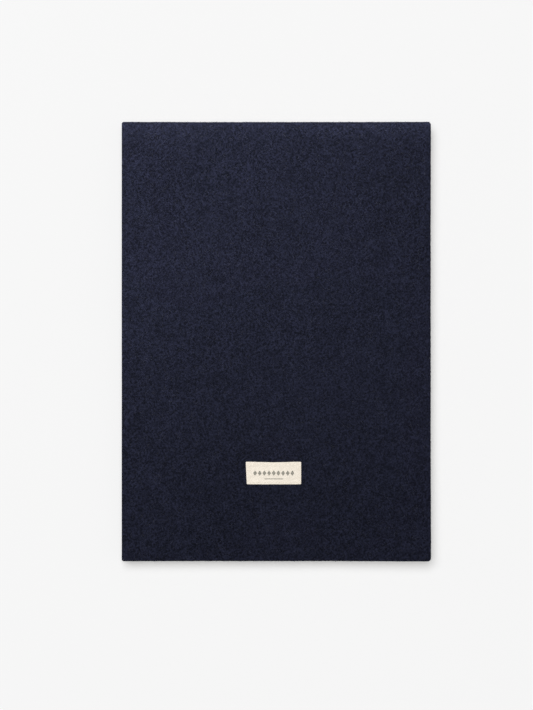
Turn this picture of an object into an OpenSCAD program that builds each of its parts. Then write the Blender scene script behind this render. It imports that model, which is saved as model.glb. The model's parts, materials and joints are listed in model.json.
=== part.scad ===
// Felt-covered hardback logbook, closed and lying on its back cover.
// +X points to the fore-edge, +Y to the head, +Z up out of the front cover.
// The origin is under the middle of the book, on the surface it lies on.
// The text block is glued to the back cover only, so the front cover and the
// spine fold open flat beside it. The block opens at its middle fold.

/* [Cover] */
// Width of the cover, from spine to fore-edge
cover_w = 214; // [150:1:230]
// Height of the cover, from tail to head
cover_h = 304; // [210:1:330]
// Thickness of the wool felt
cloth_t = 1.0; // [0.8:0.1:1.4]
// Thickness of the front and back boards
board_t = 1.8; // [1.5:0.1:3]
// Thickness of the spine board
spine_board_t = 1.5; // [1:0.1:2]
// Radius of the cover's corners
corner_r = 2; // [1.5:0.1:4]
// Width of the felt that is turned in over the boards' edges
turn_in = 15; // [10:1:20]
// Thickness of the pressed turn-ins, and of the card between them
turn_t = 0.6; // [0.5:0.1:0.8]

/* [Text block] */
// How far the cover stands out past the pages on three sides
square_w = 3.5; // [2:0.5:5]
// Thickness of one printed leaf
leaf_t = 0.11; // [0.09:0.01:0.14]
// Thickness of an endpaper leaf
endpaper_t = 0.15; // [0.12:0.01:0.2]
// Thickness of the linen tapes
tape_t = 0.25; // [0.2:0.05:0.3]
// Width of the linen tapes
tape_w = 12; // [8:1:16]
// Diameter of the sewing thread
thread_d = 0.35; // [0.3:0.05:0.4]

/* [Label] */
// Width of the label
label_w = 38.4; // [25:0.2:60]
// Height of the label
label_h = 16.6; // [10:0.2:30]
// Thickness of the label with its hem
label_t = 0.6; // [0.4:0.1:1]
// Label centre, to the right of the cover's middle
label_x = -1.7; // [-10:0.1:10]
// Label centre, above the cover's tail edge
label_up = 60.4; // [40:0.1:120]

/* [Hidden] */
SECTIONS = 8;
SHEETS = 3;

// Small distances
hair = 0.01;        // between leaves folded into each other
slip = 0.03;        // between neighbouring sections
room = 0.2;         // between the block and the front cover
tape_gap = 0.1;     // between the folds and the tapes
past = 1;           // how far a cutter runs past what it cuts
steps = 48;         // facets of a full round

// Cover, in X and Y
left = -cover_w / 2;
right = cover_w / 2;
top_y = cover_h / 2;
board_left = left + cloth_t;
board_right = right - cloth_t;
board_top = top_y - cloth_t;
board_r = corner_r - cloth_t;

// Heights, from the table up
back_board_z = cloth_t;
back_infill_z = back_board_z + board_t;
back_endpaper_z = back_infill_z + turn_t;
endpaper_h = 2 * endpaper_t + hair;
section_h = 2 * SHEETS * leaf_t + (2 * SHEETS - 1) * hair;
pitch = section_h + slip;
first_z = back_endpaper_z + endpaper_h + slip;
front_endpaper_z = first_z + SECTIONS * pitch;
block_top = front_endpaper_z + endpaper_h;
front_lining_z = block_top + tape_t + room;
front_turn_z = front_lining_z + endpaper_t;
front_board_z = front_turn_z + turn_t;
front_cloth_z = front_board_z + board_t;
cover_top = front_cloth_z + cloth_t;
middle_z = first_z + SECTIONS / 2 * pitch - slip / 2;

// Spine, in X
spine_in = board_left + spine_board_t;
lining_in = spine_in + turn_t + endpaper_t;
block_clear = 0.5;
thread_x = lining_in + block_clear + thread_d / 2;
tape_x = thread_x + thread_d / 2;
fold_x = tape_x + tape_t + tape_gap;
spine_low = back_endpaper_z + endpaper_t;
spine_high = front_lining_z - room;

// Text block
page_right = right - square_w;
page_top = top_y - square_w;
tape_slip = 20;
tape_places = [-95, 0, 95];
back_slip_z = back_endpaper_z - tape_t;
kettle_y = page_top - 12;
function section_mid(k) = first_z + (k - 1) * pitch + section_h / 2;

// Label
stitch_inset = 1.5;
stitch_len = 1.7;
stitch_gap = 0.7;
stitch_d = 0.3;

FELT = [0.13, 0.14, 0.20];
GREYBOARD = [0.62, 0.60, 0.56];
CARD = [0.80, 0.77, 0.70];
PAPER = [0.95, 0.93, 0.88];
LINING = [0.86, 0.84, 0.78];
LINEN = [0.85, 0.80, 0.68];
COTTON = [0.93, 0.88, 0.80];
THREAD = [0.90, 0.87, 0.78];

// A flat slab from x0 to x1, as tall as the cover less its margin, with its
// two fore-edge corners rounded.
module panel(x0, x1, half_h, z, t, r) {
    translate([0, 0, z])
        linear_extrude(t)
            difference() {
                translate([x0, -half_h])
                    square([x1 - x0, 2 * half_h]);
                for (s = [-1, 1])
                    difference() {
                        translate([x1 - r, s > 0 ? half_h - r : -half_h - past])
                            square([r + past, r + past]);
                        translate([x1 - r, s * (half_h - r)])
                            circle(r, $fn = steps);
                    }
            }
}

// A plain box between two corners.
module block(low, high) {
    translate(low)
        cube(high - low);
}

// The felt round one board: one face, three edges and the turn-ins.
// face_z is the felt's outer plate, board_z the board, turn_z the turn-ins.
module wrapped_felt(face_z, board_z, turn_z) {
    low = min(face_z, turn_z);
    high = max(face_z + cloth_t, turn_z + turn_t);
    inner = board_right - turn_in;
    inner_top = board_top - turn_in;
    difference() {
        panel(board_left, right, top_y, low, high - low, corner_r);
        panel(board_left - past, board_right, board_top, board_z, board_t, board_r);
        block([board_left - past, -inner_top, turn_z - (turn_z < board_z ? past : 0)],
              [inner, inner_top, turn_z + turn_t + (turn_z < board_z ? 0 : past)]);
    }
}

// The card inside the turn-ins.
module infill(z) {
    block([board_left, turn_in - board_top, z],
          [board_right - turn_in, board_top - turn_in, z + turn_t]);
}

// One sheet folded at the spine: two leaves and a half-round fold between them.
// nest_r is the fold's radius for the outermost sheet of its group, bow the
// fold's outer radius for this one, t the paper and mid_z the fold's height.
module folded_sheet(nest_r, bow, t, mid_z) {
    translate([fold_x + nest_r, page_top, mid_z])
        rotate([90, 0, 0])
            linear_extrude(2 * page_top)
                difference() {
                    fold_outline(nest_r, bow);
                    fold_outline(nest_r, bow - t, past);
                }
}

// What a folded sheet's outer face encloses, with the fold's centre at the
// origin. The leaves end together at the trimmed fore-edge.
module fold_outline(nest_r, bow, extra = 0) {
    translate([0, -bow])
        square([page_right - fold_x - nest_r + extra, 2 * bow]);
    circle(bow, $fn = steps);
}

// Three sheets nested in each other.
module section(k) {
    nest_r = section_h / 2;
    color(PAPER)
        for (s = [0 : SHEETS - 1])
            folded_sheet(nest_r, nest_r - s * (leaf_t + hair), leaf_t, section_mid(k));
}

// An endpaper: one folded sheet of heavier paper.
module endpaper(z) {
    nest_r = endpaper_h / 2;
    color(LINING)
        folded_sheet(nest_r, nest_r, endpaper_t, z + nest_r);
}

// Linen tapes up the spine from low to high, each with a slip turned in over
// the block at slip_z.
module tapes(low, high, slip_z) {
    color(LINEN)
        for (y = tape_places)
            union() {
                block([tape_x, y - tape_w / 2, low],
                      [tape_x + tape_t, y + tape_w / 2, high]);
                block([tape_x, y - tape_w / 2, slip_z],
                      [fold_x + tape_slip, y + tape_w / 2, slip_z + tape_t]);
            }
}

// Thread over the tapes of sections a to b, and the kettle stitches that tie
// their ends together.
module sewing(a, b) {
    over = tape_w + 2;
    color(THREAD) {
        for (k = [a : b], y = tape_places)
            translate([thread_x, y + over / 2, section_mid(k)])
                rotate([90, 0, 0])
                    cylinder(h = over, d = thread_d, $fn = steps);
        for (s = [-1, 1])
            translate([thread_x, s * kettle_y, section_mid(a)])
                cylinder(h = section_mid(b) - section_mid(a), d = thread_d, $fn = steps);
    }
}

module back_board() {
    color(GREYBOARD)
        panel(board_left, board_right, board_top, back_board_z, board_t, board_r);
}

module front_board() {
    color(GREYBOARD)
        panel(board_left, board_right, board_top, front_board_z, board_t, board_r);
}

module spine_board() {
    color(GREYBOARD)
        block([board_left, -board_top, spine_low], [spine_in, board_top, spine_high]);
}

module back_cover_cloth() {
    color(FELT)
        wrapped_felt(0, back_board_z, back_infill_z);
}

module front_cover_cloth() {
    color(FELT)
        wrapped_felt(front_cloth_z, front_board_z, front_turn_z);
}

// The felt over the spine board, turned in at head and tail.
module spine_cover_cloth() {
    inner_top = board_top - turn_in;
    color(FELT)
        difference() {
            union() {
                block([left, -top_y, back_board_z], [board_left, top_y, front_cloth_z]);
                block([board_left, -top_y, spine_low], [spine_in + turn_t, top_y, spine_high]);
            }
            block([board_left, -board_top, spine_low - past],
                  [spine_in, board_top, spine_high + past]);
            block([spine_in - past, -inner_top, spine_low - past],
                  [spine_in + turn_t + past, inner_top, spine_high + past]);
        }
}

// Card with a pocket under each tape end.
module back_infill() {
    color(CARD)
        difference() {
            infill(back_infill_z);
            for (y = tape_places)
                block([board_left - past, y - tape_w / 2 - hair, back_slip_z],
                      [fold_x + tape_slip + hair, y + tape_w / 2 + hair, back_endpaper_z + past]);
        }
}

module front_infill() {
    color(CARD)
        infill(front_turn_z);
}

module front_lining() {
    edge = 4;
    color(LINING)
        block([board_left, edge - board_top, front_lining_z],
              [board_right - edge, board_top - edge, front_turn_z]);
}

module spine_lining() {
    edge = 4;
    color(LINING)
        block([spine_in + turn_t, edge - board_top, spine_low],
              [lining_in, board_top - edge, spine_high]);
}

module label() {
    r = 0.8;
    color(COTTON)
        translate([label_x - label_w / 2, label_up - top_y - label_h / 2, cover_top])
            linear_extrude(label_t)
                union() {
                    translate([r, 0])
                        square([label_w - 2 * r, label_h]);
                    translate([0, r])
                        square([label_w, label_h - 2 * r]);
                    for (x = [r, label_w - r], y = [r, label_h - r])
                        translate([x, y])
                            circle(r, $fn = steps);
                }
}

// A row of stitches along X, centred on the origin.
module stitch_row(length) {
    count = floor((length + stitch_gap) / (stitch_len + stitch_gap));
    step = (length + stitch_gap) / count;
    for (i = [0 : count - 1])
        translate([(i - (count - 1) / 2) * step - stitch_len / 2, 0, 0])
            rotate([0, 90, 0])
                cylinder(h = stitch_len, d = stitch_d, $fn = steps);
}

module label_stitching() {
    across = label_w - 2 * stitch_inset;
    up = label_h - 2 * stitch_inset;
    corner = 1;
    color(THREAD)
        translate([label_x, label_up - top_y, cover_top + label_t + stitch_d / 2])
            for (s = [-1, 1]) {
                translate([0, s * up / 2, 0])
                    stitch_row(across - corner);
                translate([s * across / 2, 0, 0])
                    rotate([0, 0, 90])
                        stitch_row(up - corner);
            }
}

back_board();
back_cover_cloth();
back_infill();
endpaper(back_endpaper_z);  // back_endpaper
spine_board();
spine_cover_cloth();
spine_lining();
front_board();
front_cover_cloth();
front_infill();
front_lining();
label();
label_stitching();
endpaper(front_endpaper_z);  // front_endpaper
tapes(back_slip_z, middle_z, back_slip_z);  // back_tapes
tapes(middle_z, block_top + tape_t, block_top);  // front_tapes
sewing(1, SECTIONS / 2);  // back_sewing
sewing(SECTIONS / 2 + 1, SECTIONS);  // front_sewing
for (k = [1 : SECTIONS])
    section(k);
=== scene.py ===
"""Looks of a felt-covered logbook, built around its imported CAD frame.

Everything is in metres in the frame of the CAD model: +X to the fore-edge, +Y to the
head, +Z up out of the front cover.
"""

import json
import math

import bpy
import numpy as np
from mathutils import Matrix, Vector, noise

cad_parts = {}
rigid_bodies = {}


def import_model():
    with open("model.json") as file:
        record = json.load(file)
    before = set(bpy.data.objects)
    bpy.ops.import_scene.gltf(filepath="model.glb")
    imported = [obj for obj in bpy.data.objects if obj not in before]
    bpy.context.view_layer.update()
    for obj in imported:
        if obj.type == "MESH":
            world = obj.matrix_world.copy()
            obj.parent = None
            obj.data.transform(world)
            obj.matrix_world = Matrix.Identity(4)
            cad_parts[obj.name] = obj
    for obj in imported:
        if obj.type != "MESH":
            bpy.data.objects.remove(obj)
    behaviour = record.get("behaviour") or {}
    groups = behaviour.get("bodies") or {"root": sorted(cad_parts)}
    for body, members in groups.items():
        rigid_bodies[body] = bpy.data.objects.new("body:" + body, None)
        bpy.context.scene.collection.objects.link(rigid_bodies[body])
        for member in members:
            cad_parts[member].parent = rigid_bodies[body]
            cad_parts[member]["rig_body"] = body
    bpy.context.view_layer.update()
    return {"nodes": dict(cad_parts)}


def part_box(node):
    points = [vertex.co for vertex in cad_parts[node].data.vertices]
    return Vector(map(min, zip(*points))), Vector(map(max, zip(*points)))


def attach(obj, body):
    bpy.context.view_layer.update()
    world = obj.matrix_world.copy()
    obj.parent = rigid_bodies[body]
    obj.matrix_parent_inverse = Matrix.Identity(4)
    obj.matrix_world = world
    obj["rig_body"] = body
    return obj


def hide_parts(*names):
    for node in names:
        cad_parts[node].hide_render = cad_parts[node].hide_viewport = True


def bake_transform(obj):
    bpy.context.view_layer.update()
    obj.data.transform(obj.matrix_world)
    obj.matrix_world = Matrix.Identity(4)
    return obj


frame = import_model()

MM = 0.001


# ---------------------------------------------------------------- sizes from the frame


def low(node):
    """Lowest corner of a CAD node."""
    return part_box(node)[0]


def high(node):
    """Highest corner of a CAD node."""
    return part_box(node)[1]


def body_of(node):
    """The body that a CAD node rides on."""
    return frame["nodes"][node]["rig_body"]


HINGE_X = low("front_board").x
BOARD_X = high("front_board").x
BOARD_Y = high("front_board").y
CLOTH_T = high("front_cover_cloth").z - high("front_board").z
BOARD_T = high("front_board").z - low("front_board").z
TURN_T = low("front_board").z - low("front_cover_cloth").z
TURN_IN = BOARD_X - high("front_infill").x
COVER_TOP = high("front_cover_cloth").z
FRONT_FACE = high("front_board").z
BACK_FACE = low("back_board").z
BOARD_R = 1.0 * MM
SPINE_BOARD_T = high("spine_board").x - low("spine_board").x


# ---------------------------------------------------------------- mesh building


def new_object(name, vertices, faces, sharp_deg=50):
    """A mesh object, shaded smooth except over edges sharper than sharp_deg."""
    mesh = bpy.data.meshes.new(name)
    mesh.from_pydata([tuple(v) for v in vertices], [], faces)
    mesh.validate()
    mesh.shade_smooth()
    mesh.set_sharp_from_angle(angle=math.radians(sharp_deg))
    obj = bpy.data.objects.new(name, mesh)
    bpy.context.scene.collection.objects.link(obj)
    return obj


def remember_rest(obj):
    """Keeps every vertex's place at rest, which the materials read."""
    mesh = obj.data
    rest = np.empty(len(mesh.vertices) * 3, np.float32)
    mesh.vertices.foreach_get("co", rest)
    mesh.attributes.new("rest", "FLOAT_VECTOR", "POINT").data.foreach_set("vector", rest)


class Sheet:
    """A thin sheet: every vertex has a place on the outer and on the inner face."""

    def __init__(self):
        self.outer = []
        self.inner = []
        self.faces = []

    def add(self, outer, inner):
        self.outer.append(outer)
        self.inner.append(inner)
        return len(self.outer) - 1

    def face(self, *corners):
        """A face of three or four different corners; anything less is left out."""
        kept = [c for i, c in enumerate(corners) if c != corners[i - 1]]
        if len(set(kept)) == len(kept) > 2:
            self.faces.append(kept)

    def grid(self, index):
        """Faces between the neighbours of a 2-D table of vertex numbers."""
        for a, b in zip(index[:-1], index[1:]):
            for j in range(len(a) - 1):
                corners = (a[j], b[j], b[j + 1], a[j + 1])
                if None not in corners:
                    self.face(*corners)

    def build(self, name, flip=False, move=None, sharp_deg=50):
        """The closed mesh: both faces, and a wall along every open edge. move shifts
        each outer vertex along its normal by move(place)."""
        outer = np.array(self.outer, float)
        inner = np.array(self.inner, float)
        count = len(outer)
        if move is not None:
            outer = outer + self.normals(outer) * np.array([move(p) for p in outer])[:, None]
        ends = {}
        for f in self.faces:
            for a, b in zip(f, f[1:] + f[:1]):
                ends[(a, b)] = True
        faces = [list(f) for f in self.faces]
        faces += [[v + count for v in reversed(f)] for f in self.faces]
        faces += [[b, a, a + count, b + count] for a, b in ends if (b, a) not in ends]
        if flip:
            faces = [f[::-1] for f in faces]
        return new_object(name, np.vstack([outer, inner]), faces, sharp_deg)

    def normals(self, points):
        """Unit normals of the outer face, pointing away from the inner face."""
        total = np.zeros_like(points)
        for size in (3, 4):
            some = np.array([f for f in self.faces if len(f) == size])
            if len(some):
                side = np.cross(
                    points[some[:, 2]] - points[some[:, 0]],
                    points[some[:, -1]] - points[some[:, 1]],
                )
                for k in range(size):
                    np.add.at(total, some[:, k], side)
        total /= np.maximum(np.linalg.norm(total, axis=1), 1e-12)[:, None]
        away = np.einsum("ij,ij->i", total, points - np.array(self.inner, float))
        return total * np.where(away < 0, -1, 1)[:, None]


def spaced(start, end, step):
    """Even steps from start to end, both included, no longer than step."""
    return np.linspace(start, end, max(1, math.ceil(abs(end - start) / step)) + 1)


def ring_sheet(x_edge, y_edge, inset, step, corner_r, profile, put, closed):
    """A rectangular sheet whose rim follows profile, rows of (outward, height) pairs for
    the outer and the inner face, measured from the edge lines. x_edge and y_edge are
    (low, high). The low X side is left open unless closed. put(x, y, height) gives the
    place in the frame."""
    (xl, xh), (yl, yh) = x_edge, y_edge
    xs = spaced(xl + (inset if closed else 0), xh - inset, step)
    ys = spaced(yl + inset, yh - inset, step)
    tx = (xs - xs[0]) / (xs[-1] - xs[0])
    ty = (ys - ys[0]) / (ys[-1] - ys[0])
    sheet = Sheet()
    top_out, top_in = profile[0][1], profile[0][3]
    grid = [[sheet.add(put(x, y, top_out), put(x, y, top_in)) for y in ys] for x in xs]
    sheet.grid(grid)
    turns = 6

    def corner(sx, sy, a, k):
        """Point k of the arc round one corner, at a beyond the edge lines."""
        cx = (xh - corner_r) if sx > 0 else (xl + corner_r)
        cy = (yh - corner_r) if sy > 0 else (yl + corner_r)
        if a <= -corner_r:
            return cx + sx * (corner_r + a), cy + sy * (corner_r + a)
        first = {(1, -1): -90, (1, 1): 0, (-1, 1): 90, (-1, -1): 180}[(sx, sy)]
        angle = math.radians(first + 90 * k / turns)
        r = corner_r + a
        return cx + r * math.cos(angle), cy + r * math.sin(angle)

    def places(a):
        """The rim's points at a beyond the edge lines, counter-clockwise."""
        c = min(a, -corner_r)
        x0, x1 = (xl - c if closed else xl), xh + c
        y0, y1 = yl - c, yh + c
        found = [(x0 + t * (x1 - x0), yl - a) for t in tx]
        found += [corner(1, -1, a, k) for k in range(1, turns)]
        found += [(xh + a, y0 + t * (y1 - y0)) for t in ty]
        found += [corner(1, 1, a, k) for k in range(1, turns)]
        found += [(x0 + t * (x1 - x0), yh + a) for t in tx[::-1]]
        if closed:
            found += [corner(-1, 1, a, k) for k in range(1, turns)]
            found += [(xl - a, y0 + t * (y1 - y0)) for t in ty[::-1]]
            found += [corner(-1, -1, a, k) for k in range(1, turns)]
        return found

    def first_ring():
        last_x, last_y = len(xs) - 1, len(ys) - 1
        found = [grid[i][0] for i in range(len(xs))] + [grid[last_x][0]] * (turns - 1)
        found += [grid[last_x][j] for j in range(len(ys))]
        found += [grid[last_x][last_y]] * (turns - 1)
        found += [grid[i][last_y] for i in reversed(range(len(xs)))]
        if closed:
            found += [grid[0][last_y]] * (turns - 1)
            found += [grid[0][j] for j in reversed(range(len(ys)))]
            found += [grid[0][0]] * (turns - 1)
        return found

    before = first_ring()
    for a_out, b_out, a_in, b_in in profile[1:]:
        outs, ins = places(a_out), places(a_in)
        now, known = [], {}
        for o, i in zip(outs, ins):
            key = tuple(round(v, 7) for v in (*o, *i))
            if key not in known:
                known[key] = sheet.add(put(*o, b_out), put(*i, b_in))
            now.append(known[key])
        pairs = list(range(len(now) - 1)) + ([-1] if closed else [])
        for p in pairs:
            sheet.face(before[p + 1], before[p], now[p], now[p + 1])
        before = now
    return sheet


# ---------------------------------------------------------------- node materials


SOCKETS = {
    "sheen_weight": "Sheen Weight",
    "sheen_roughness": "Sheen Roughness",
    "sheen_tint": "Sheen Tint",
    "specular": "Specular IOR Level",
}


class Nodes:
    """A short way to write a material's nodes. Places are in metres: the object's own, or
    with coords "rest" the places that remember_rest() kept."""

    def __init__(self, name, coords="Object"):
        self.material = bpy.data.materials.new(name)
        self.material.use_nodes = True
        self.tree = self.material.node_tree
        self.shader = self.tree.nodes["Principled BSDF"]
        if coords == "rest":
            node = self.node("ShaderNodeAttribute")
            node.attribute_name = "rest"
            self.place = node.outputs["Vector"]
        else:
            self.place = self.node("ShaderNodeTexCoord").outputs[coords]

    def node(self, kind, **settings):
        made = self.tree.nodes.new(kind)
        for key, value in settings.items():
            setattr(made, key, value)
        return made

    def feed(self, socket, value):
        """Links an output to a socket, or sets the socket's own value."""
        if isinstance(value, bpy.types.NodeSocket):
            self.tree.links.new(value, socket)
        else:
            socket.default_value = value

    def math(self, operation, a, b=0.0, c=0.0):
        made = self.node("ShaderNodeMath", operation=operation)
        for socket, value in zip(made.inputs, (a, b, c)):
            self.feed(socket, value)
        return made.outputs[0]

    def axes(self):
        """The X, Y and Z outputs of the place."""
        made = self.node("ShaderNodeSeparateXYZ")
        self.feed(made.inputs[0], self.place)
        return made.outputs

    def stretched(self, size, turn_deg=0.0):
        """Places divided by a size in metres along each axis, after a turn about Z."""
        made = self.node("ShaderNodeMapping", vector_type="TEXTURE")
        self.feed(made.inputs["Vector"], self.place)
        made.inputs["Rotation"].default_value = (0, 0, math.radians(turn_deg))
        made.inputs["Scale"].default_value = size
        return made.outputs[0]

    def noise(self, size, detail=2.0, rough=0.55, vector=None, distortion=0.0):
        """Noise from 0 to 1 with features of that size in metres."""
        made = self.node("ShaderNodeTexNoise")
        self.feed(made.inputs["Vector"], self.place if vector is None else vector)
        made.inputs["Scale"].default_value = 1.0 / size
        made.inputs["Detail"].default_value = detail
        made.inputs["Roughness"].default_value = rough
        made.inputs["Distortion"].default_value = distortion
        return made.outputs["Fac"]

    def between(self, value, low_at, high_at, to_low=0.0, to_high=1.0):
        """value's range low_at..high_at becomes to_low..to_high, clamped."""
        made = self.node("ShaderNodeMapRange")
        for key, v in zip(
            ("Value", "From Min", "From Max", "To Min", "To Max"),
            (value, low_at, high_at, to_low, to_high),
        ):
            self.feed(made.inputs[key], v)
        return made.outputs[0]

    def mix(self, share, a, b):
        """The colour that is a where share is 0 and b where it is 1."""
        made = self.node("ShaderNodeMix", data_type="RGBA")
        self.feed(made.inputs["Factor"], share)
        colour_inputs = [s for s in made.inputs if s.type == "RGBA"]
        for socket, value in zip(colour_inputs, (a, b)):
            if not isinstance(value, bpy.types.NodeSocket):
                value = (*value, 1.0)
            self.feed(socket, value)
        return [s for s in made.outputs if s.type == "RGBA"][0]

    def bump(self, height, depth, strength=1.0, under=None):
        """A bump of that depth in metres, on top of another one if under is given."""
        made = self.node("ShaderNodeBump")
        made.inputs["Distance"].default_value = depth
        made.inputs["Strength"].default_value = strength
        self.feed(made.inputs["Height"], height)
        if under is not None:
            self.feed(made.inputs["Normal"], under)
        return made.outputs[0]

    def finish(self, colour, roughness, normal=None, **fixed):
        self.feed(self.shader.inputs["Base Color"], colour)
        self.feed(self.shader.inputs["Roughness"], roughness)
        if normal is not None:
            self.feed(self.shader.inputs["Normal"], normal)
        for name, value in fixed.items():
            self.shader.inputs[SOCKETS[name]].default_value = value
        return self.material


FELT_DARK = (0.0011, 0.0014, 0.0037)
FELT_LIGHT = (0.0136, 0.0153, 0.0313)
FELT_FLECK = (0.0335, 0.0396, 0.0630)


def felt_material():
    """Milled wool felt: dark navy, mottled by crossing fibres, with a soft nap. The mottle is
    partly the wool's own colour and partly painted shade and highlight of the nap.
    """
    n = Nodes("felt", "rest")
    grain = n.noise(1.35 * MM, detail=3, rough=0.65)
    fibres = n.noise(1.0, detail=2, rough=0.6, distortion=0.9,
                     vector=n.stretched((3.6 * MM, 1.2 * MM, 1.2 * MM), 35))
    crossing = n.noise(1.0, detail=2, rough=0.6, distortion=0.9,
                       vector=n.stretched((1.2 * MM, 3.6 * MM, 1.2 * MM), 20))
    hairs = 0.0
    for turn in (10, 72, 128):
        one = n.noise(1.0, detail=1, distortion=1.2,
                      vector=n.stretched((1.7 * MM, 0.22 * MM, 0.6 * MM), turn))
        hairs = n.math("MAXIMUM", one, hairs)
    clouds = n.noise(9 * MM, detail=2)
    wide = n.noise(70 * MM, detail=1)
    strands = n.math("MAXIMUM", fibres, crossing)
    # Painted shade of the nap mixed with the wool's own tone: the mottle is dark in its hollows
    # and light on raised strands, and the bump below raises the same mottle.
    mottle = n.math("ADD", n.math("MULTIPLY", grain, 0.55), n.math("MULTIPLY", strands, 0.45))
    share = n.between(mottle, 0.45, 0.61)
    colour = n.mix(share, FELT_DARK, FELT_LIGHT)
    colour = n.mix(n.between(clouds, 0.35, 0.65, 0.0, 0.30), colour, FELT_DARK)
    colour = n.mix(n.between(wide, 0.3, 0.7, 0.04, 0.14), colour, FELT_LIGHT)
    flecks = n.between(n.noise(0.7 * MM, detail=1), 0.70, 0.78)
    colour = n.mix(n.math("MULTIPLY", flecks, 0.5), colour, FELT_FLECK)
    # Painted highlight on the raised hairs and painted shade between them, mixed with the paler
    # colour of stray fibres.
    colour = n.mix(n.between(hairs, 0.63, 0.76, 0.0, 0.32), colour, FELT_FLECK)
    colour = n.mix(n.between(hairs, 0.44, 0.56, 0.45, 0.0), colour, FELT_DARK)
    normal = n.bump(mottle, 0.35 * MM, 0.7, n.bump(hairs, 0.10 * MM, 0.6))
    return n.finish(
        colour, n.between(grain, 0.3, 0.7, 0.88, 1.0), normal,
        sheen_weight=0.05, sheen_roughness=0.5, sheen_tint=(0.5, 0.55, 0.9, 1),
        specular=0.08,
    )


def fuzz_material():
    """Loose wool fibres, a little paler than the felt under them."""
    n = Nodes("felt_fuzz")
    share = n.noise(6 * MM, detail=1)
    colour = n.mix(n.between(share, 0.3, 0.7), (0.012, 0.013, 0.025), (0.036, 0.038, 0.062))
    return n.finish(colour, n.between(share, 0.3, 0.7, 0.8, 0.95), sheen_weight=0.1,
                    specular=0.2)


def board_material(name, dark, pale):
    """Pulp board: grey or cream, with flecks and a matt tooth."""
    n = Nodes(name)
    pulp = n.noise(2.5 * MM, detail=4, rough=0.7)
    flecks = n.between(n.noise(0.9 * MM, detail=1), 0.66, 0.72)
    colour = n.mix(n.between(pulp, 0.3, 0.7), dark, pale)
    colour = n.mix(n.math("MULTIPLY", flecks, 0.4), colour, [v * 0.45 for v in dark])
    return n.finish(colour, n.between(pulp, 0.3, 0.7, 0.8, 0.95),
                    n.bump(pulp, 0.08 * MM, 0.6))


def paper_nodes(name, dark, pale):
    """Uncoated paper: its nodes, its colour and its bump, before any print."""
    n = Nodes(name)
    cloudy = n.noise(14 * MM, detail=3)
    pulp = n.noise(1.2 * MM, detail=3, rough=0.7)
    colour = n.mix(n.between(cloudy, 0.3, 0.7), dark, pale)
    colour = n.mix(n.between(pulp, 0.3, 0.75, 0.0, 0.25), colour, [v * 0.93 for v in dark])
    return n, colour, pulp


def lines_at(n, axis, places, width):
    """1 on each line that crosses the axis at one of the places."""
    total = None
    for place in places:
        one = n.math("COMPARE", axis, place, width / 2)
        total = one if total is None else n.math("MAXIMUM", total, one)
    return total


def span(n, axis, start, end):
    """1 where axis is between start and end."""
    middle, half = (start + end) / 2, abs(end - start) / 2
    return n.math("COMPARE", axis, middle, half)


def page_material():
    """A logbook page: a headed grid of columns and rows, with nothing written in it."""
    n, colour, pulp = paper_nodes("leaf_paper", (0.81, 0.77, 0.67), (0.85, 0.81, 0.71))
    x, y, _ = n.axes()
    widths = [15, 20, 20, 15, 15, 11, 11, 11, 11, 11, 11, 34]
    x_low = low("section_1").x + 12 * MM
    edges = [x_low + sum(widths[:k]) * MM for k in range(len(widths) + 1)]
    y_high = high("section_1").y - 16 * MM
    head, row, rows, totals = 24 * MM, 9 * MM, 24, 3
    y_head = y_high - head
    y_low = y_head - rows * row
    inside_x = span(n, x, edges[0], edges[-1])
    inside_y = span(n, y, y_low, y_high)
    inside = n.math("MULTIPLY", inside_x, inside_y)
    in_rows = span(n, y, y_low, y_head)
    fine, heavy = 0.28 * MM, 0.7 * MM
    phase = n.math("PINGPONG", n.math("SUBTRACT", y, y_low), row / 2)
    row_lines = n.math("MULTIPLY", n.math("LESS_THAN", phase, fine / 2), in_rows)
    columns = lines_at(n, x, edges[1:-1], fine)
    band = span(n, y, y_head, y_high)
    group = span(n, x, edges[5], edges[11])
    upper = span(n, y, y_high - head / 2, y_high)
    open_group = n.math("MULTIPLY", n.math("MULTIPLY", group, upper),
                        span(n, x, edges[5] + heavy, edges[11] - heavy))
    columns = n.math("MULTIPLY", columns, n.math("SUBTRACT", 1.0, open_group))
    split = n.math("MULTIPLY", n.math("COMPARE", y, y_high - head / 2, fine / 2), group)
    frame_x = lines_at(n, x, (edges[0], edges[5], edges[11], edges[-1]), heavy)
    frame_y = lines_at(n, y, (y_low, y_low + totals * row, y_head, y_high), heavy)
    thin = n.math("MAXIMUM", n.math("MAXIMUM", row_lines, columns), split)
    thick = n.math("MAXIMUM", frame_x, frame_y)
    outer_x = span(n, x, edges[0] - heavy / 2, edges[-1] + heavy / 2)
    outer_y = span(n, y, y_low - heavy / 2, y_high + heavy / 2)
    ink = n.math("MULTIPLY", n.math("MAXIMUM", thin, thick),
                 n.math("MULTIPLY", outer_x, outer_y))
    total_rows = span(n, y, y_low, y_low + totals * row)
    tint = n.math("MULTIPLY", n.math("MAXIMUM", band, total_rows), inside)
    colour = n.mix(n.math("MULTIPLY", tint, 0.5), colour, (0.60, 0.66, 0.68))
    even = n.math("LESS_THAN", n.math("PINGPONG", n.math("SUBTRACT", y, y_low), row), row / 2)
    stripe = n.math("MULTIPLY", n.math("MULTIPLY", even, in_rows), inside)
    colour = n.mix(n.math("MULTIPLY", stripe, 0.10), colour, (0.55, 0.62, 0.66))
    colour = n.mix(n.math("MULTIPLY", ink, 0.85), colour, (0.10, 0.17, 0.26))
    return n.finish(colour, n.between(pulp, 0.3, 0.7, 0.72, 0.88),
                    n.bump(pulp, 0.03 * MM, 0.5))


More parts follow.
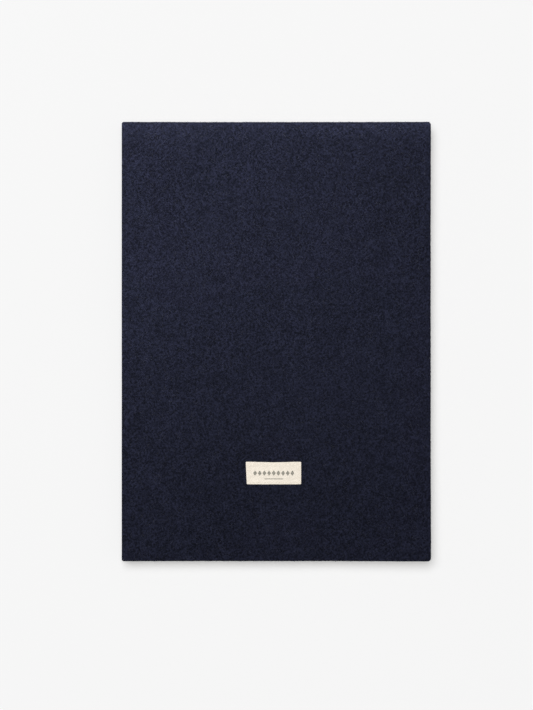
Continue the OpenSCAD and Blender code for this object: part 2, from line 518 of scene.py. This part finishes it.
def endpaper_material():
    """Heavier laid paper, with faint ribs."""
    n, colour, pulp = paper_nodes("endpaper", (0.52, 0.49, 0.42), (0.60, 0.57, 0.49))
    _, y, _ = n.axes()
    ribs = n.math("PINGPONG", y, 0.45 * MM)
    colour = n.mix(n.between(ribs, 0.0, 0.45 * MM, 0.0, 0.10), colour, (0.40, 0.38, 0.32))
    return n.finish(colour, n.between(pulp, 0.3, 0.7, 0.75, 0.9),
                    n.bump(n.math("DIVIDE", ribs, 0.45 * MM), 0.02 * MM, 0.6,
                           n.bump(pulp, 0.03 * MM, 0.4)))


def weave(n, a, b, pitch):
    """The height of a plain weave on two axes: 0 between the threads, 1 on crowns."""
    crown_a = n.math("SINE", n.math("MULTIPLY", a, math.pi / pitch))
    crown_b = n.math("SINE", n.math("MULTIPLY", b, math.pi / pitch))
    height_a = n.math("ABSOLUTE", crown_a)
    height_b = n.math("ABSOLUTE", crown_b)
    checks = n.math("GREATER_THAN", n.math("MULTIPLY", crown_a, crown_b), 0.0)
    height = n.math("ADD", n.math("MULTIPLY", height_a, checks),
                    n.math("MULTIPLY", height_b, n.math("SUBTRACT", 1.0, checks)))
    return height


LABEL_MID = (low("label") + high("label")) / 2
LABEL_W = high("label").x - low("label").x
LABEL_H = high("label").y - low("label").y
LABEL_HEM = 2.6 * MM
ROW_UP = 0.6 * MM
ROW_HALF = 14.5 * MM
LOZENGE = ROW_HALF * 2 / 9
LOZENGE_HALF_W = 1.40 * MM
LOZENGE_HALF_H = 1.85 * MM
RULE_DOWN = 4.0 * MM
RULE_T = 0.55 * MM
RULE_HALF = 6.5 * MM


def cotton_material():
    """The label's cotton tape, with a woven row of lozenges and a short rule under it."""
    n = Nodes("label_cotton")
    x, y, _ = n.axes()
    height = weave(n, x, y, 0.30 * MM)
    slubs = n.noise(1.0, detail=2, vector=n.stretched((3.5 * MM, 0.9 * MM, 2 * MM), 25))
    soil = n.noise(7 * MM, detail=3)
    colour = n.mix(n.between(slubs, 0.3, 0.7), (0.77, 0.70, 0.60), (0.86, 0.79, 0.69))
    colour = n.mix(n.between(soil, 0.45, 0.8, 0.0, 0.20), colour, (0.62, 0.55, 0.47))
    # Painted shade between the threads: darker where the weave's height is low.
    colour = n.mix(n.between(height, 0.0, 0.6, 0.26, 0.0), colour, (0.55, 0.49, 0.39))
    ragged = n.math("MULTIPLY", n.math("SUBTRACT", n.noise(0.5 * MM, detail=1), 0.5), 0.25 * MM)
    motif_y = n.math("SUBTRACT", n.math("ADD", y, ragged), LABEL_MID.y + ROW_UP)
    motif_x = n.math("SUBTRACT", x, LABEL_MID.x)
    across = n.math("PINGPONG", n.math("ADD", motif_x, LOZENGE / 2), LOZENGE / 2)
    across = n.math("DIVIDE", n.math("SUBTRACT", LOZENGE / 2, across), LOZENGE_HALF_W)
    up = n.math("DIVIDE", n.math("ABSOLUTE", motif_y), LOZENGE_HALF_H)
    lozenge = n.math("LESS_THAN", n.math("ADD", across, up), 1.0)
    in_row = span(n, motif_x, -ROW_HALF, ROW_HALF)
    rule_y = n.math("COMPARE", motif_y, -RULE_DOWN, RULE_T / 2)
    rule = n.math("MULTIPLY", rule_y, span(n, motif_x, -RULE_HALF, RULE_HALF))
    dyed = n.math("MAXIMUM", n.math("MULTIPLY", lozenge, in_row), rule)
    worn = n.between(n.noise(0.8 * MM, detail=2), 0.3, 0.75, 0.95, 0.55)
    colour = n.mix(n.math("MULTIPLY", dyed, worn), colour, (0.12, 0.12, 0.10))
    return n.finish(colour, n.between(height, 0.0, 1.0, 0.98, 0.85),
                    n.bump(height, 0.10 * MM, 0.8, n.bump(slubs, 0.1 * MM, 0.4)),
                    sheen_weight=0.05, specular=0.2)


def thread_material(name, dark, pale):
    """Spun cotton or linen thread."""
    n = Nodes(name)
    lay = n.noise(1.0, detail=2, vector=n.stretched((0.5 * MM, 0.5 * MM, 0.5 * MM)))
    colour = n.mix(n.between(lay, 0.3, 0.7), dark, pale)
    return n.finish(colour, n.between(lay, 0.3, 0.7, 0.7, 0.9), n.bump(lay, 0.05 * MM, 0.7),
                    sheen_weight=0.1)


def tape_material():
    """Woven linen tape."""
    n = Nodes("linen_tape")
    x, y, z = n.axes()
    height = weave(n, y, n.math("ADD", x, z), 0.6 * MM)
    slubs = n.noise(1.0, detail=2, vector=n.stretched((0.5 * MM, 6 * MM, 0.5 * MM)))
    colour = n.mix(n.between(slubs, 0.3, 0.7), (0.52, 0.46, 0.34), (0.70, 0.64, 0.50))
    # Painted shade between the threads: darker where the weave's height is low.
    colour = n.mix(n.between(height, 0.0, 0.7, 0.5, 0.0), colour, (0.30, 0.26, 0.19))
    return n.finish(colour, n.between(height, 0.0, 1.0, 0.95, 0.8),
                    n.bump(height, 0.12 * MM, 0.8))


# ---------------------------------------------------------------- felt of the cover

BEND_STEPS = 6
RIM = 2 * MM
GRID_FRONT = 1.25 * MM
GRID_BACK = 2.2 * MM
WARP_TAIL = 2.2 * MM
WARP_HEAD = 1.4 * MM
PROUD = 0.22 * MM
FELT_BEND = 1.25 * MM
HINGE_GAP = 0.03 * MM
FIBRE_LEAST = 1.2 * MM
FIBRE_MOST = 4.2 * MM
FIBRE_ROOT = 0.22 * MM
FIBRE_RISE = (0.10, 0.45)
SHARE_ON_FACE = 0.86
SHARE_ON_FORE_EDGE = 0.42


def smooth(value, start, end):
    """0 before start to 1 after end, with soft ends."""
    t = min(1.0, max(0.0, (value - start) / (end - start)))
    return t * t * (3 - 2 * t)


def warp(x, y):
    """How far the front cover's fore-edge corners have curled up."""
    out = smooth(x, 20 * MM, 125 * MM)
    tail = smooth(-y, 40 * MM, 150 * MM)
    head = smooth(y, 80 * MM, 160 * MM)
    return out * (tail * WARP_TAIL + head * WARP_HEAD)


def relief(p):
    """The felt's uneven face: dents, lumps and nap. It goes inwards nearly everywhere,
    and the stretched spine is smoother than the boards."""
    p = Vector(p)
    soft = 0.3 + 0.7 * smooth(p.x, -104 * MM, -85 * MM)
    wide = noise.noise(p / (38 * MM)) * 0.13
    lumps = noise.noise(p / (6 * MM)) * 0.06
    nap = noise.noise(p / (2.1 * MM)) * 0.07
    return soft * (wide + lumps + nap - 0.20) * MM


def arc(centre, radii, start_deg, end_deg, steps):
    """Points (outward, height) along part of an ellipse."""
    found = []
    for k in range(steps + 1):
        t = math.radians(start_deg + (end_deg - start_deg) * k / steps)
        found.append((centre[0] + radii[0] * math.cos(t), centre[1] + radii[1] * math.sin(t)))
    return found


def wrap_profile(board_t):
    """The felt's section over a board's edge, from its face to the end of the turn-in."""
    bend, tight = FELT_BEND, 0.12 * MM
    reach = CLOTH_T - bend
    rows = [(-RIM, CLOTH_T, -RIM, 0.0), (-RIM / 2, CLOTH_T, -RIM / 2, 0.0)]
    over = arc((reach, reach), (bend, bend), 90, 0, BEND_STEPS)
    under = arc((-tight, -tight), (tight, tight), 90, 0, BEND_STEPS)
    rows += [(*o, *i) for o, i in zip(over, under)]
    rows += [(CLOTH_T, -s * board_t, 0.0, -s * board_t) for s in (0.45, 0.75)]
    over = arc((0, -board_t), (CLOTH_T, TURN_T), 0, -90, 5)
    under = arc((-tight, tight - board_t), (tight, tight), 0, -90, 5)
    rows += [(*o, *i) for o, i in zip(over, under)]
    bottom = -board_t - TURN_T
    for share in (0.2, 0.5, 0.8, 0.97):
        rows.append((-TURN_IN * share, bottom, -TURN_IN * share, -board_t))
    rows.append((-TURN_IN, bottom + 0.15 * MM, -TURN_IN, -board_t - 0.15 * MM))
    return rows


def plate_rows(step, least):
    """Rows along Y of a strip of felt that is rounded at its ends like the felt beside
    it: (y, height), with no height under least."""
    end = BOARD_Y + CLOTH_T
    centre = (end - FELT_BEND, CLOTH_T - FELT_BEND)
    bend = arc(centre, (FELT_BEND, FELT_BEND), 90, 0, BEND_STEPS)
    head = [(y, max(h, least)) for y, h in bend]
    tail = [(-y, h) for y, h in reversed(head)]
    flat = BOARD_Y - RIM
    return tail + [(y, CLOTH_T) for y in spaced(-flat, flat, step)] + head


def board_felt(name, nodes, face_z, way, step, lift=None):
    """The felt round one board. way is 1 where its face looks up, -1 where down."""

    def put(x, y, b):
        rise = lift(x, y) if lift else 0.0
        return (x, y, face_z + way * b + rise)

    sheet = ring_sheet((HINGE_X + HINGE_GAP, BOARD_X), (-BOARD_Y, BOARD_Y), RIM, step,
                       BOARD_R, wrap_profile(BOARD_T), put, closed=False)
    turned = face_z - way * (BOARD_T + 0.3 * TURN_T)

    def shift(p):
        if (p[2] - (lift(p[0], p[1]) if lift else 0.0) - turned) * way < 0:
            return 0.2 * relief(p)
        out = max(smooth(p[0], BOARD_X, BOARD_X + CLOTH_T),
                  smooth(abs(p[1]), BOARD_Y, BOARD_Y + CLOTH_T))
        return relief(p) + out * PROUD

    obj = sheet.build(name, flip=way < 0, move=shift)
    remember_rest(obj)
    obj.data.materials.append(FELT)
    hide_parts(*nodes)
    return obj


def spine_felt():
    """The felt over the spine board, turned in at head and tail only where the board is."""
    sheet = Sheet()
    low_z, high_z = low("spine_board").z, high("spine_board").z
    near = 0.05 * MM
    heights = [*spaced(BACK_FACE + HINGE_GAP, low_z - near, 1 * MM),
               *spaced(low_z, high_z, 1.3 * MM),
               *spaced(high_z + near, FRONT_FACE - HINGE_GAP, 1 * MM)]
    head = wrap_profile(SPINE_BOARD_T)[2:]
    over_edge = BEND_STEPS + 1
    middle = spaced(-BOARD_Y + RIM, BOARD_Y - RIM, GRID_FRONT)
    table = []
    for z in heights:
        wrapped = low_z <= z <= high_z
        column = []
        ends = []
        for k, (a_out, b_out, a_in, b_in) in enumerate(head):
            if wrapped:
                ends.append((BOARD_Y + a_out, b_out, BOARD_Y + a_in, b_in))
            elif k < over_edge:
                ends.append((BOARD_Y + a_out, max(b_out, near), BOARD_Y + a_out, 0.0))
            else:
                ends.append(None)
        rows = [None if e is None else (-e[0], e[1], -e[2], e[3]) for e in reversed(ends)]
        rows += [(y, CLOTH_T, y, 0.0) for y in middle] + ends
        for r in rows:
            column.append(None if r is None else sheet.add(
                (HINGE_X - r[1], r[0], z), (HINGE_X - r[3], r[2], z)))
        table.append(column)
    sheet.grid(table)

    def shift(p):
        return relief(p) * (1.0 if p[0] < HINGE_X + 0.3 * MM else 0.2)

    obj = sheet.build("spine_felt", flip=False, move=shift)
    remember_rest(obj)
    obj.data.materials.append(FELT)
    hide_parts("spine_cover_cloth")
    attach(obj, "spine")
    return obj


def corner_felt(name, axis_z, way):
    """The strip of felt that bends round one hinge line, between a board and the spine."""
    sheet = Sheet()
    core = 0.03 * MM
    table = []
    for k in range(BEND_STEPS + 1):
        t = math.radians(90 * k / BEND_STEPS)
        ux, uz = -math.sin(t), way * math.cos(t)
        table.append([
            sheet.add((HINGE_X + ux * h, y, axis_z + uz * h),
                      (HINGE_X + ux * core, y, axis_z + uz * core))
            for y, h in plate_rows(GRID_FRONT, 2 * core)
        ])
    sheet.grid(table)
    obj = sheet.build(name, flip=way > 0, move=relief)
    remember_rest(obj)
    obj.data.materials.append(FELT)
    if way > 0:
        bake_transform(obj)
    else:
        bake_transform(obj)
    return obj


def fuzz(name, body, roots, seed):
    """Loose fibres on the felt. roots is (places, normals); each fibre is a closed,
    curved three-sided strand whose ends dip under the felt's even face."""
    random = np.random.default_rng(seed)
    places, ups = roots
    count = len(places)
    stations = 5
    side = np.cross(ups, random.normal(size=(count, 3)))
    side /= np.linalg.norm(side, axis=1)[:, None]
    across = np.cross(ups, side)
    length = random.uniform(FIBRE_LEAST, FIBRE_MOST, count)
    bend = random.uniform(-0.9, 0.9, count)
    rise = random.uniform(*FIBRE_RISE, count) * MM
    line = np.zeros((count, stations, 3))
    for s in range(stations):
        t = s / (stations - 1)
        along = (t - 0.5) * length
        sway = bend * length * (t * (1 - t))
        height = rise * 4 * t * (1 - t) - FIBRE_ROOT
        line[:, s] = (places + side * along[:, None] + across * sway[:, None]
                      + ups * height[:, None])
    line[:, :, 2] = np.maximum(line[:, :, 2], 0.05 * MM)
    thick = random.uniform(0.028, 0.052, count) * MM
    rings = []
    for s in range(stations):
        taper = 0.25 if s in (0, stations - 1) else 1.0
        for k in range(3):
            turn = 2 * math.pi * k / 3
            offset = across * math.cos(turn) + ups * math.sin(turn)
            rings.append(line[:, s] + offset * (thick * taper)[:, None])
    vertices = np.stack(rings, axis=1).reshape(-1, 3)
    per = stations * 3
    pattern = []
    for s in range(stations - 1):
        for k in range(3):
            a, b = s * 3 + k, s * 3 + (k + 1) % 3
            pattern.append([a, b, b + 3, a + 3])
    caps = [[2, 1, 0], [per - 3, per - 2, per - 1]]
    faces = []
    for i in range(count):
        base = i * per
        faces += [[base + v for v in f] for f in pattern + caps]
    obj = new_object(name, vertices, faces, sharp_deg=180)
    obj.data.materials.append(FUZZ)
    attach(obj, body)
    return obj


def on_face(count, seed):
    """Random places and normals over the front cover's face and its three edges."""
    random = np.random.default_rng(seed)
    edge = BOARD_X + CLOTH_T
    end = BOARD_Y + CLOTH_T
    top = int(count * SHARE_ON_FACE)
    x = random.uniform(HINGE_X + FIBRE_MOST / 2, edge - MM, top)
    y = random.uniform(-end + MM, end - MM, top)
    rise = np.array([warp(a, b) for a, b in zip(x, y)])
    places = [np.column_stack([x, y, COVER_TOP + rise])]
    ups = [np.tile((0.0, 0.0, 1.0), (top, 1))]
    rest = count - top
    tall = CLOTH_T + BOARD_T
    fore = int(rest * SHARE_ON_FORE_EDGE)
    y = random.uniform(-end + MM, end - MM, fore)
    z = random.uniform(FRONT_FACE - BOARD_T, COVER_TOP - 0.3 * MM, fore)
    rise = np.array([warp(edge, b) for b in y])
    places.append(np.column_stack([np.full(fore, edge), y, z + rise]))
    ups.append(np.tile((1.0, 0.0, 0.0), (fore, 1)))
    for way in (-1, 1):
        some = (rest - fore) // 2
        x = random.uniform(HINGE_X + FIBRE_MOST / 2, edge - MM, some)
        z = random.uniform(COVER_TOP - tall, COVER_TOP - 0.3 * MM, some)
        rise = np.array([warp(a, way * end) for a in x])
        places.append(np.column_stack([x, np.full(some, way * end), z + rise]))
        ups.append(np.tile((0.0, float(way), 0.0), (some, 1)))
    return np.vstack(places), np.vstack(ups)


def on_spine(count, seed):
    """Random places and normals over the spine's outer face."""
    random = np.random.default_rng(seed)
    y = random.uniform(-BOARD_Y, BOARD_Y, count)
    z = random.uniform(BACK_FACE + FIBRE_MOST / 2, FRONT_FACE - FIBRE_MOST / 2, count)
    places = np.column_stack([np.full(count, HINGE_X - CLOTH_T), y, z])
    return places, np.tile((-1.0, 0.0, 0.0), (count, 1))


def on_back_edges(count, seed):
    """Random places and normals over the back cover's three edges."""
    random = np.random.default_rng(seed)
    edge, end = BOARD_X + CLOTH_T, BOARD_Y + CLOTH_T
    top = high("back_cover_cloth").z
    third = count // 3
    z = random.uniform(0.6 * MM, top - 0.4 * MM, count)
    y = random.uniform(-end + MM, end - MM, third)
    places = [np.column_stack([np.full(third, edge), y, z[:third]])]
    ups = [np.tile((1.0, 0.0, 0.0), (third, 1))]
    for k, way in enumerate((-1, 1)):
        x = random.uniform(HINGE_X + FIBRE_MOST / 2, edge - MM, third)
        heights = z[(k + 1) * third:(k + 2) * third]
        places.append(np.column_stack([x, np.full(third, way * end), heights]))
        ups.append(np.tile((0.0, float(way), 0.0), (third, 1)))
    return np.vstack(places), np.vstack(ups)


def warped_board(name, node, material):
    """A CAD slab of the front cover, redrawn with the cover's warp."""
    lo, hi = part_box(node)
    fore_r = BOARD_R if node == "front_board" else 0.3 * MM
    t = hi.z - lo.z
    rim = min(0.15 * MM, t / 3)
    profile = [(-RIM, t, -RIM, 0.0), (-rim, t, -rim, 0.0), (0.0, t - rim, 0.0, rim)]

    def put(x, y, b):
        return (x, y, lo.z + b + warp(x, y))

    sheet = ring_sheet((lo.x, hi.x), (lo.y, hi.y), RIM, 8 * MM, fore_r, profile, put,
                       closed=True)
    obj = sheet.build(name, sharp_deg=40)
    obj.data.materials.append(material)
    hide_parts(node)
    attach(obj, body_of(node))
    return obj


# ---------------------------------------------------------------- label


def shortened(v):
    """A distance up from the label's middle, with the lower half drawn in by its hem."""
    return v if v > 0 else 0.87 * v


def cotton_label():
    """A cotton label with its four edges folded under, sewn to the felt."""
    lo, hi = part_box("label")
    cloth = 0.27 * MM
    top = hi.z - lo.z
    bend = cloth + 0.03 * MM
    inset = 0.5 * MM
    profile = [(-inset, top, -inset, top - cloth)]
    over = arc((-bend, top / 2), (bend, top / 2), 90, -90, 8)
    under = arc((-bend, top / 2), (0.03 * MM, top / 2 - cloth), 90, -90, 8)
    profile += [(*o, *i) for o, i in zip(over, under)]
    profile += [(-LABEL_HEM * s, 0.0, -LABEL_HEM * s, cloth) for s in (0.45, 1.0)]
    mid = LABEL_MID

    def put(x, y, b):
        u, v = x - mid.x, y - mid.y
        from_edge = min(LABEL_W / 2 - abs(u), LABEL_H / 2 - abs(v))
        sunk = smooth(from_edge, 1.9 * MM, 3.4 * MM) * 0.20 * MM
        groove = math.exp(-(((from_edge - 1.5 * MM) / (0.35 * MM)) ** 2)) * 0.10 * MM
        puckers = math.sin(u / (0.38 * MM)) * math.sin(v / (0.41 * MM)) * 0.02 * MM
        ripple = noise.noise(Vector((x, y, 0)) / (5 * MM)) * 0.09 * MM
        keep = smooth(b, 0.25 * MM, 0.45 * MM)
        drop = keep * (sunk + groove - puckers - ripple * 0.6)
        skew = 0.045 * v * smooth(-u, 0.0, LABEL_W / 2)
        wander = noise.noise(Vector((x, 0.3, 0.1)) / (7 * MM)) * 0.25 * MM
        dip = 0.20 * MM * math.cos(u / (6.5 * MM)) * smooth(v, 0.0, LABEL_H / 2)
        return (x - skew - 0.01 * u, mid.y + shortened(v) + wander * v / LABEL_H - dip,
                lo.z + b - drop)

    sheet = ring_sheet((lo.x, hi.x), (lo.y, hi.y), inset, 0.30 * MM, 0.7 * MM, profile, put,
                       closed=True)
    obj = sheet.build("cotton_label", sharp_deg=60)
    obj.data.materials.append(cotton_material())
    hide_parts("label")
    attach(obj, "front_cover")
    return obj


def tube(line, radius, sides):
    """Vertices and faces of a closed tube round a line of points."""
    line = np.array(line)
    steps = np.gradient(line, axis=0)
    steps /= np.linalg.norm(steps, axis=1)[:, None]
    up = np.array((0.0, 0.0, 1.0))
    vertices, faces = [], []
    for p, d in zip(line, steps):
        side = np.cross(d, up)
        if np.linalg.norm(side) < 1e-6:
            side = np.array((1.0, 0.0, 0.0))
        side /= np.linalg.norm(side)
        lift = np.cross(side, d)
        for k in range(sides):
            t = 2 * math.pi * k / sides
            vertices.append(p + radius * (side * math.cos(t) + lift * math.sin(t)))
    for s in range(len(line) - 1):
        for k in range(sides):
            a, b = s * sides + k, s * sides + (k + 1) % sides
            faces.append([a, a + sides, b + sides, b])
    last = (len(line) - 1) * sides
    faces.append(list(range(sides)))
    faces.append([last + k for k in reversed(range(sides))])
    return vertices, faces


def twisted(line, radius, turns, plies=2, sides=6):
    """Plies of a thread wound round a line of points."""
    line = np.array(line)
    steps = np.gradient(line, axis=0)
    steps /= np.linalg.norm(steps, axis=1)[:, None]
    vertices, faces = [], []
    for ply in range(plies):
        path = []
        for k, (p, d) in enumerate(zip(line, steps)):
            side = np.cross(d, (0.0, 0.0, 1.0))
            if np.linalg.norm(side) < 1e-6:
                side = np.array((1.0, 0.0, 0.0))
            side /= np.linalg.norm(side)
            lift = np.cross(side, d)
            t = 2 * math.pi * (turns * k / (len(line) - 1) + ply / plies)
            path.append(p + radius * 0.48 * (side * math.cos(t) + lift * math.sin(t)))
        found, more = tube(path, radius * 0.56, sides)
        base = len(vertices)
        vertices += found
        faces += [[v + base for v in f] for f in more]
    return vertices, faces


def label_stitches():
    """A running stitch round the label, each stitch two plies that dip at its ends."""
    inset, length, gap, thick = 1.5 * MM, 1.7 * MM, 0.7 * MM, 0.14 * MM
    random = np.random.default_rng(7)
    half_x, half_y = LABEL_W / 2 - inset, LABEL_H / 2 - inset
    top = high("label").z - 0.10 * MM
    vertices, faces = [], []
    sides = [((0, -half_y), (1, 0), 2 * half_x), ((half_x, 0), (0, 1), 2 * half_y),
             ((0, half_y), (-1, 0), 2 * half_x), ((-half_x, 0), (0, -1), 2 * half_y)]
    for (cx, cy), (dx, dy), run in sides:
        count = int((run - 1 * MM + gap) / (length + gap))
        step = (run - 1 * MM + gap) / count
        for k in range(count):
            middle = (k - (count - 1) / 2) * step
            sway = random.uniform(-0.10, 0.10, 2) * MM
            line = []
            for s in np.linspace(-1, 1, 9):
                along = middle + s * length / 2
                off = sway[0] if s < 0 else sway[1]
                off *= abs(s)
                line.append((LABEL_MID.x + cx + dx * along - dy * off,
                             LABEL_MID.y + shortened(cy + dy * along + dx * off),
                             top + 0.12 * MM - 0.34 * MM * abs(s) ** 3))
            found, more = twisted(line, thick, turns=1.6)
            base = len(vertices)
            vertices += found
            faces += [[v + base for v in f] for f in more]
    obj = new_object("label_stitches", vertices, faces, sharp_deg=60)
    obj.data.materials.append(
        thread_material("label_thread", (0.60, 0.54, 0.44), (0.80, 0.74, 0.63)))
    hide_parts("label_stitching")
    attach(obj, "front_cover")
    return obj


# ---------------------------------------------------------------- text block

BLOCK_LOW = low("back_endpaper").z
BLOCK_HIGH = high("front_endpaper").z
FORE_X = high("section_1").x
SHEETS = 3
LEAF_T = 0.11 * MM
ENDPAPER_T = 0.15 * MM


def ripple(x, y, z):
    """The small wave of the leaves towards the fore-edge, growing up the block."""
    up = (z - BLOCK_LOW) / (BLOCK_HIGH - BLOCK_LOW)
    out = smooth(x, 0.0, FORE_X)
    wave = 0.6 * math.sin(y / 0.027 + 0.6) + 0.4 * math.sin(y / 0.0152)
    return 0.13 * MM * up * out * wave


def folded_leaves(name, node, material, sheets, paper_t, seed):
    """Folded sheets nested in each other, as the CAD node has them, with each leaf's
    edges cut a hair differently."""
    random = np.random.default_rng(seed)
    lo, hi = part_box(node)
    mid_z, nest = (lo.z + hi.z) / 2, (hi.z - lo.z) / 2
    hair = (2 * nest - 2 * sheets * paper_t) / (2 * sheets - 1)
    centre_x = lo.x + nest
    flats = [hi.x, hi.x - 0.4 * MM, *np.linspace(hi.x - 5 * MM, centre_x + 3 * MM, 16), centre_x]
    rows = np.linspace(lo.y, hi.y, 36)
    vertices, faces = [], []
    for s in range(sheets):
        bow = nest - s * (paper_t + hair)
        sheet = Sheet()
        ends = random.uniform(-0.09, 0.03, 2) * MM
        tops = random.uniform(-0.07, 0.03, 2) * MM
        curl = random.uniform(0, 6.28)
        table = []
        path = [(x, -1.0, 0) for x in flats]
        path += [(centre_x, -math.cos(math.radians(a)), math.sin(math.radians(a)))
                 for a in (30, 60, 90, 120, 150)]
        path += [(x, 1.0, 1) for x in reversed(flats)]
        for n, (x, height, bulge) in enumerate(path):
            flat = n < len(flats) or n >= len(path) - len(flats)
            leaf = 0 if n < len(path) / 2 else 1
            column = []
            for j, y in enumerate(rows):
                share = (x - centre_x) / (hi.x - centre_x) if flat else 0.0
                rough = 0.03 * MM * math.sin(y / 0.0061 + curl + leaf)
                px = x + (ends[leaf] + rough) * smooth(share, 0.97, 1.0) if flat else x
                py = y + (tops[leaf] if j == len(rows) - 1 else -tops[1 - leaf] if j == 0 else 0)
                push_out = -bow * bulge if not flat else 0.0
                push_in = -(bow - paper_t) * bulge if not flat else 0.0
                z_out = mid_z + bow * height
                z_in = mid_z + (bow - paper_t) * height
                column.append(sheet.add((px + push_out, py, z_out + ripple(px, py, z_out)),
                                        (px + push_in, py, z_in + ripple(px, py, z_in))))
            table.append(column)
        sheet.grid(table)
        piece = sheet.build("part", flip=True)
        base = len(vertices)
        vertices += [tuple(v.co) for v in piece.data.vertices]
        faces += [[v + base for v in p.vertices] for p in piece.data.polygons]
        mesh = piece.data
        bpy.data.objects.remove(piece)
        bpy.data.meshes.remove(mesh)
    obj = new_object(name, vertices, faces, sharp_deg=40)
    obj.data.materials.append(material)
    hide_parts(node)
    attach(obj, body_of(node))
    return obj


# ---------------------------------------------------------------- assembly

FELT = felt_material()
FUZZ = fuzz_material()

front_felt = board_felt("front_felt", ["front_cover_cloth"], FRONT_FACE, 1, GRID_FRONT, warp)
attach(front_felt, "front_cover")
back_felt = board_felt("back_felt", ["back_cover_cloth"], BACK_FACE, -1, GRID_BACK)
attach(back_felt, "back_cover")
spine = spine_felt()
front_corner = corner_felt("front_corner_felt", FRONT_FACE, 1)
back_corner = corner_felt("back_corner_felt", BACK_FACE, -1)
front_fuzz = fuzz("front_felt_fuzz", "front_cover", on_face(7200, 11), 12)
spine_fuzz = fuzz("spine_felt_fuzz", "spine", on_spine(420, 13), 14)
back_fuzz = fuzz("back_felt_fuzz", "back_cover", on_back_edges(700, 15), 16)

greyboard = board_material("greyboard", (0.30, 0.285, 0.255), (0.40, 0.385, 0.35))
card = board_material("card", (0.56, 0.51, 0.42), (0.68, 0.63, 0.54))
endpaper = endpaper_material()
warped_board("front_greyboard", "front_board", greyboard)
warped_board("front_card", "front_infill", card)
warped_board("front_lining_paper", "front_lining", endpaper)

label = cotton_label()
stitches = label_stitches()

leaf_paper = page_material()
for k in range(1, 9):
    folded_leaves(f"pages_{k}", f"section_{k}", leaf_paper, SHEETS, LEAF_T, 20 + k)
for k, side in enumerate(("back", "front")):
    folded_leaves(f"{side}_endpaper_sheet", f"{side}_endpaper", endpaper, 1,
                  ENDPAPER_T, 40 + k)

thread = thread_material("sewing_thread", (0.62, 0.56, 0.44), (0.78, 0.72, 0.60))
tape = tape_material()
for node, material in (
    ("back_board", greyboard), ("spine_board", greyboard), ("back_infill", card),
    ("spine_lining", endpaper), ("back_tapes", tape), ("front_tapes", tape),
    ("back_sewing", thread), ("front_sewing", thread),
):
    frame["nodes"][node].data.materials.clear()
    frame["nodes"][node].data.materials.append(material)

# ---------------------------------------------------------------- floor, light, camera

FLOOR_GLOW = 0.35
SKY_LIGHT = 0.12
SKY_SEEN = 0.90
CAMERA_ABOVE = 1.3645


def floor():
    """A plain pale table top that gives back a little light of its own."""
    half = 6.0
    corners = [(-half, -half, 0), (half, -half, 0), (half, half, 0), (-half, half, 0)]
    obj = new_object("floor", corners, [[0, 1, 2, 3]])
    n = Nodes("floor")
    tone = n.noise(0.4, detail=1)
    colour = n.mix(tone, (0.640, 0.644, 0.658), (0.650, 0.654, 0.668))
    material = n.finish(colour, 1.0, specular=0.0)
    n.shader.inputs["Emission Color"].default_value = (1.0, 0.99, 0.955, 1)
    n.shader.inputs["Emission Strength"].default_value = FLOOR_GLOW
    obj.data.materials.append(material)
    obj.location.z = -0.05 * MM


def area_light(name, place, target, size, power):
    """A softbox of that width and depth that faces a point."""
    data = bpy.data.lights.new(name, "AREA")
    data.shape = "RECTANGLE"
    data.size, data.size_y = size
    data.energy = power
    obj = bpy.data.objects.new(name, data)
    obj.location = place
    toward = Vector(target) - Vector(place)
    obj.rotation_mode = "QUATERNION"
    obj.rotation_quaternion = toward.to_track_quat("-Z", "Y")
    bpy.context.scene.collection.objects.link(obj)
    return obj


floor()
area_light("key", place=(-1.6, 3.0, 11.0), target=(0, 0, 0), size=(7.4, 7.4), power=1205)
head_light = area_light("head", place=(-0.27, -0.01, 0.37), target=(-0.465, 0.527, 0.015),
                        size=(0.74, 0.19), power=3.5)
edge_light = area_light("edge", place=(0, BOARD_Y + 3 * MM, COVER_TOP + 10 * MM),
                        target=(0, BOARD_Y, COVER_TOP), size=(0.26, 0.002), power=0.018)
fill_light = area_light("fill", place=(-0.5, 0.9, 3.0), target=(0, 0, 0), size=(1.0, 1.0),
                        power=27)
lit_cloth = bpy.data.collections.new("lit_cloth")
for piece in (front_felt, front_corner, front_fuzz, spine, spine_fuzz, label, stitches):
    lit_cloth.objects.link(piece)
for light in (head_light, edge_light, fill_light):
    light.visible_camera = False
    light.light_linking.receiver_collection = lit_cloth

world = bpy.data.worlds.new("studio")
world.use_nodes = True
sky = world.node_tree.nodes["Background"]
sky.inputs["Color"].default_value = (1, 1, 1, 1)
seen = world.node_tree.nodes.new("ShaderNodeLightPath")
level = world.node_tree.nodes.new("ShaderNodeMapRange")
level.inputs["To Min"].default_value = SKY_LIGHT
level.inputs["To Max"].default_value = SKY_SEEN
world.node_tree.links.new(seen.outputs["Is Camera Ray"], level.inputs["Value"])
world.node_tree.links.new(level.outputs[0], sky.inputs["Strength"])
bpy.context.scene.world = world
bpy.context.scene.view_settings.view_transform = "Standard"

camera = bpy.data.objects.new("camera", bpy.data.cameras.new("camera"))
camera.data.lens = 100
camera.data.sensor_width = 36
camera.location = (-6.7 * MM, -9.3 * MM, COVER_TOP + CAMERA_ABOVE)
camera.data.clip_end = 20
bpy.context.scene.collection.objects.link(camera)
bpy.context.scene.camera = camera
